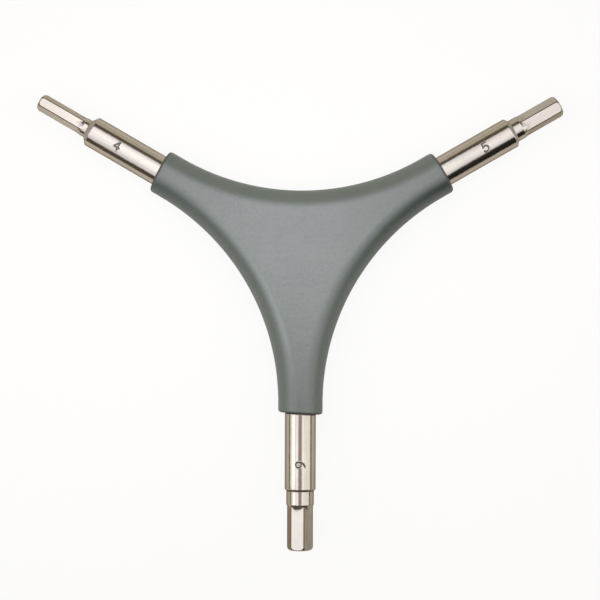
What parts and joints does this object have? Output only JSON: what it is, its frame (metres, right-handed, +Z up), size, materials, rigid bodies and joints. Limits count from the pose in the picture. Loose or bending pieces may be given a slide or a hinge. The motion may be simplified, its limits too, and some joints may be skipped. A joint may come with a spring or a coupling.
{
  "type": "y-shaped hex key",
  "caption": "Hand-held hex key with plated round shanks at equal angles, each ending in a different hexagon, in a soft grey Y-shaped grip.",
  "frame": {"origin": "middle of the grip's flat underside, below the point where the three arm axes meet", "axes": "+Z up through the thickness; the 6 mm arm points along -Y, the 5 mm arm 30 degrees above +X, the 4 mm arm 30 degrees above -X"},
  "size_m": [0.1359, 0.1173, 0.0114],
  "materials": {
    "plated_steel": "bright warm nickel plating over turned steel",
    "bare_steel": "turned and ground steel",
    "rigid_core": "moulded glass-filled nylon",
    "soft_grip": "soft satin elastomer with a fine grain"
  },
  "bodies": {
    "root": {"small_hex_shank": "plated_steel", "medium_hex_shank": "plated_steel", "large_hex_shank": "plated_steel", "small_shank_pin": "bare_steel", "medium_shank_pin": "bare_steel", "large_shank_pin": "bare_steel", "centre_hub": "bare_steel", "handle_core": "rigid_core", "grip_skin": "soft_grip"}
  },
  "joints": []
}
